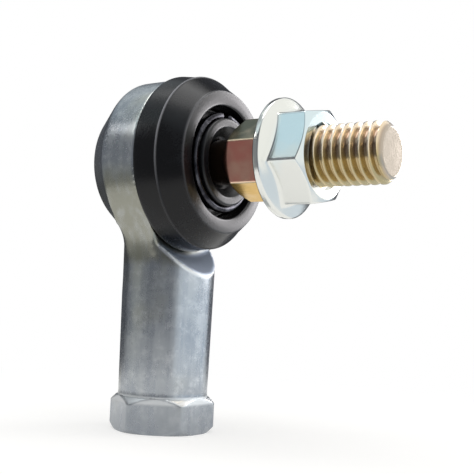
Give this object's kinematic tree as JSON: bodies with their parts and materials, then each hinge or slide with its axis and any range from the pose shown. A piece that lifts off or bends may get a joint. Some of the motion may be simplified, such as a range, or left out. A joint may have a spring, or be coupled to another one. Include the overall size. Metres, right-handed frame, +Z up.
{
  "type": "ball joint rod end",
  "caption": "Angled ball joint rod end: die-cast housing with a tapped hexagon-collared shank, a captive ball on a threaded stud with a flange nut, and a rubber dust boot.",
  "frame": {"origin": "centre of the housing's tapped end face, which is also the face it stands on", "axes": "+Z up the shank to the ball, +X out along the stud"},
  "size_m": [0.0418, 0.0248, 0.0499],
  "materials": {
    "casting": "satin",
    "ball_steel": "polished",
    "yellow_zinc": "satin",
    "boot_rubber": "satin",
    "ring_wire": "satin",
    "white_zinc": "bright"
  },
  "bodies": {
    "housing_body": {"housing": "casting"},
    "boot_body": {"boot": "boot_rubber"},
    "ring_body": {"boot_ring": "ring_wire"},
    "stud_body": {"ball": "ball_steel", "stud": "yellow_zinc", "flange_nut": "white_zinc"}
  },
  "joints": [
    {"name": "boot_turn", "type": "hinge", "parent": "housing_body", "child": "boot_body", "pos_m": [0, 0, 0.0375], "axis": [1, 0, 0], "continuous": true},
    {"name": "stud_tilt", "type": "hinge", "parent": "boot_body", "child": "ring_body", "pos_m": [0, 0, 0.0375], "axis": [0, 1, 0], "range_deg": [-25, 25], "deforming": ["boot"]},
    {"name": "stud_spin", "type": "hinge", "parent": "ring_body", "child": "stud_body", "pos_m": [0, 0, 0.0375], "axis": [1, 0, 0], "continuous": true}
  ]
}
